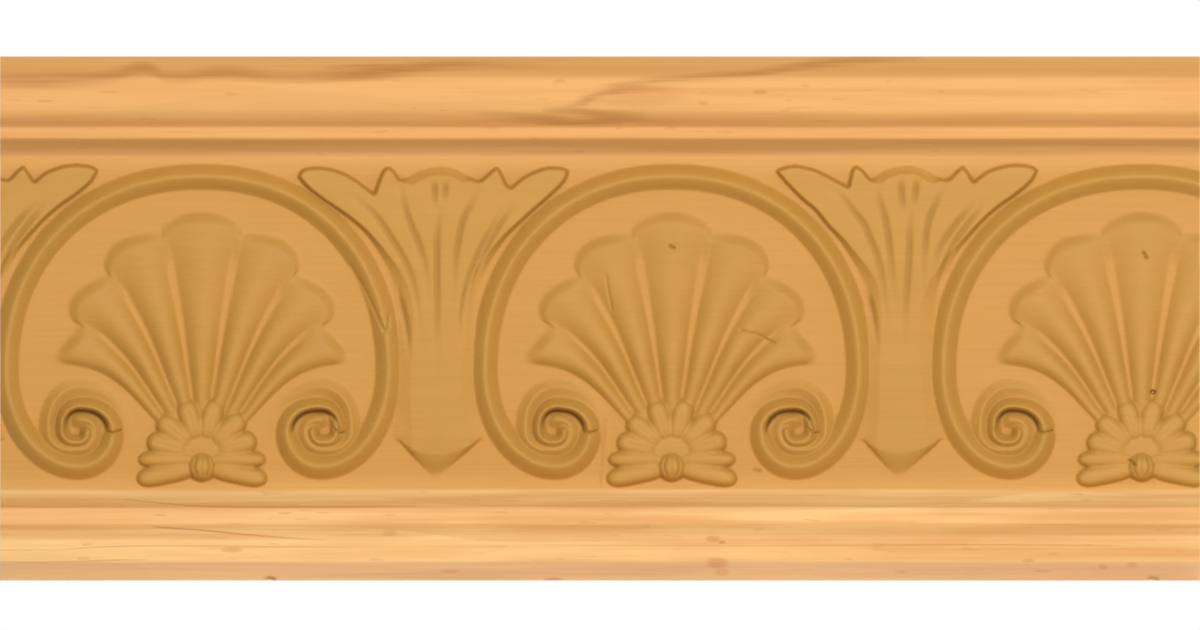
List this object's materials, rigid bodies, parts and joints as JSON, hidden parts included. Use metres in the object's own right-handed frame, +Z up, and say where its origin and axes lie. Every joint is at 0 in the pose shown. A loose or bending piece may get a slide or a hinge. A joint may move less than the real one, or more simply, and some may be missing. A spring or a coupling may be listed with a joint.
{
  "type": "shell and acanthus frieze moulding",
  "caption": "Flat-backed softwood frieze moulding: plain stepped rails above and below a pressed band of scallop shells in scrolled arches and upright acanthus leaves.",
  "frame": {"origin": "centre of the flat back, where the board lies on the wall or frame behind it", "axes": "+X along the length, +Z up the height, front faces -Y and the flat back faces +Y"},
  "size_m": [0.2038, 0.019, 0.089],
  "materials": {
    "pine": "satin"
  },
  "bodies": {
    "root": {"acanthus_moulding": "pine"}
  },
  "joints": []
}
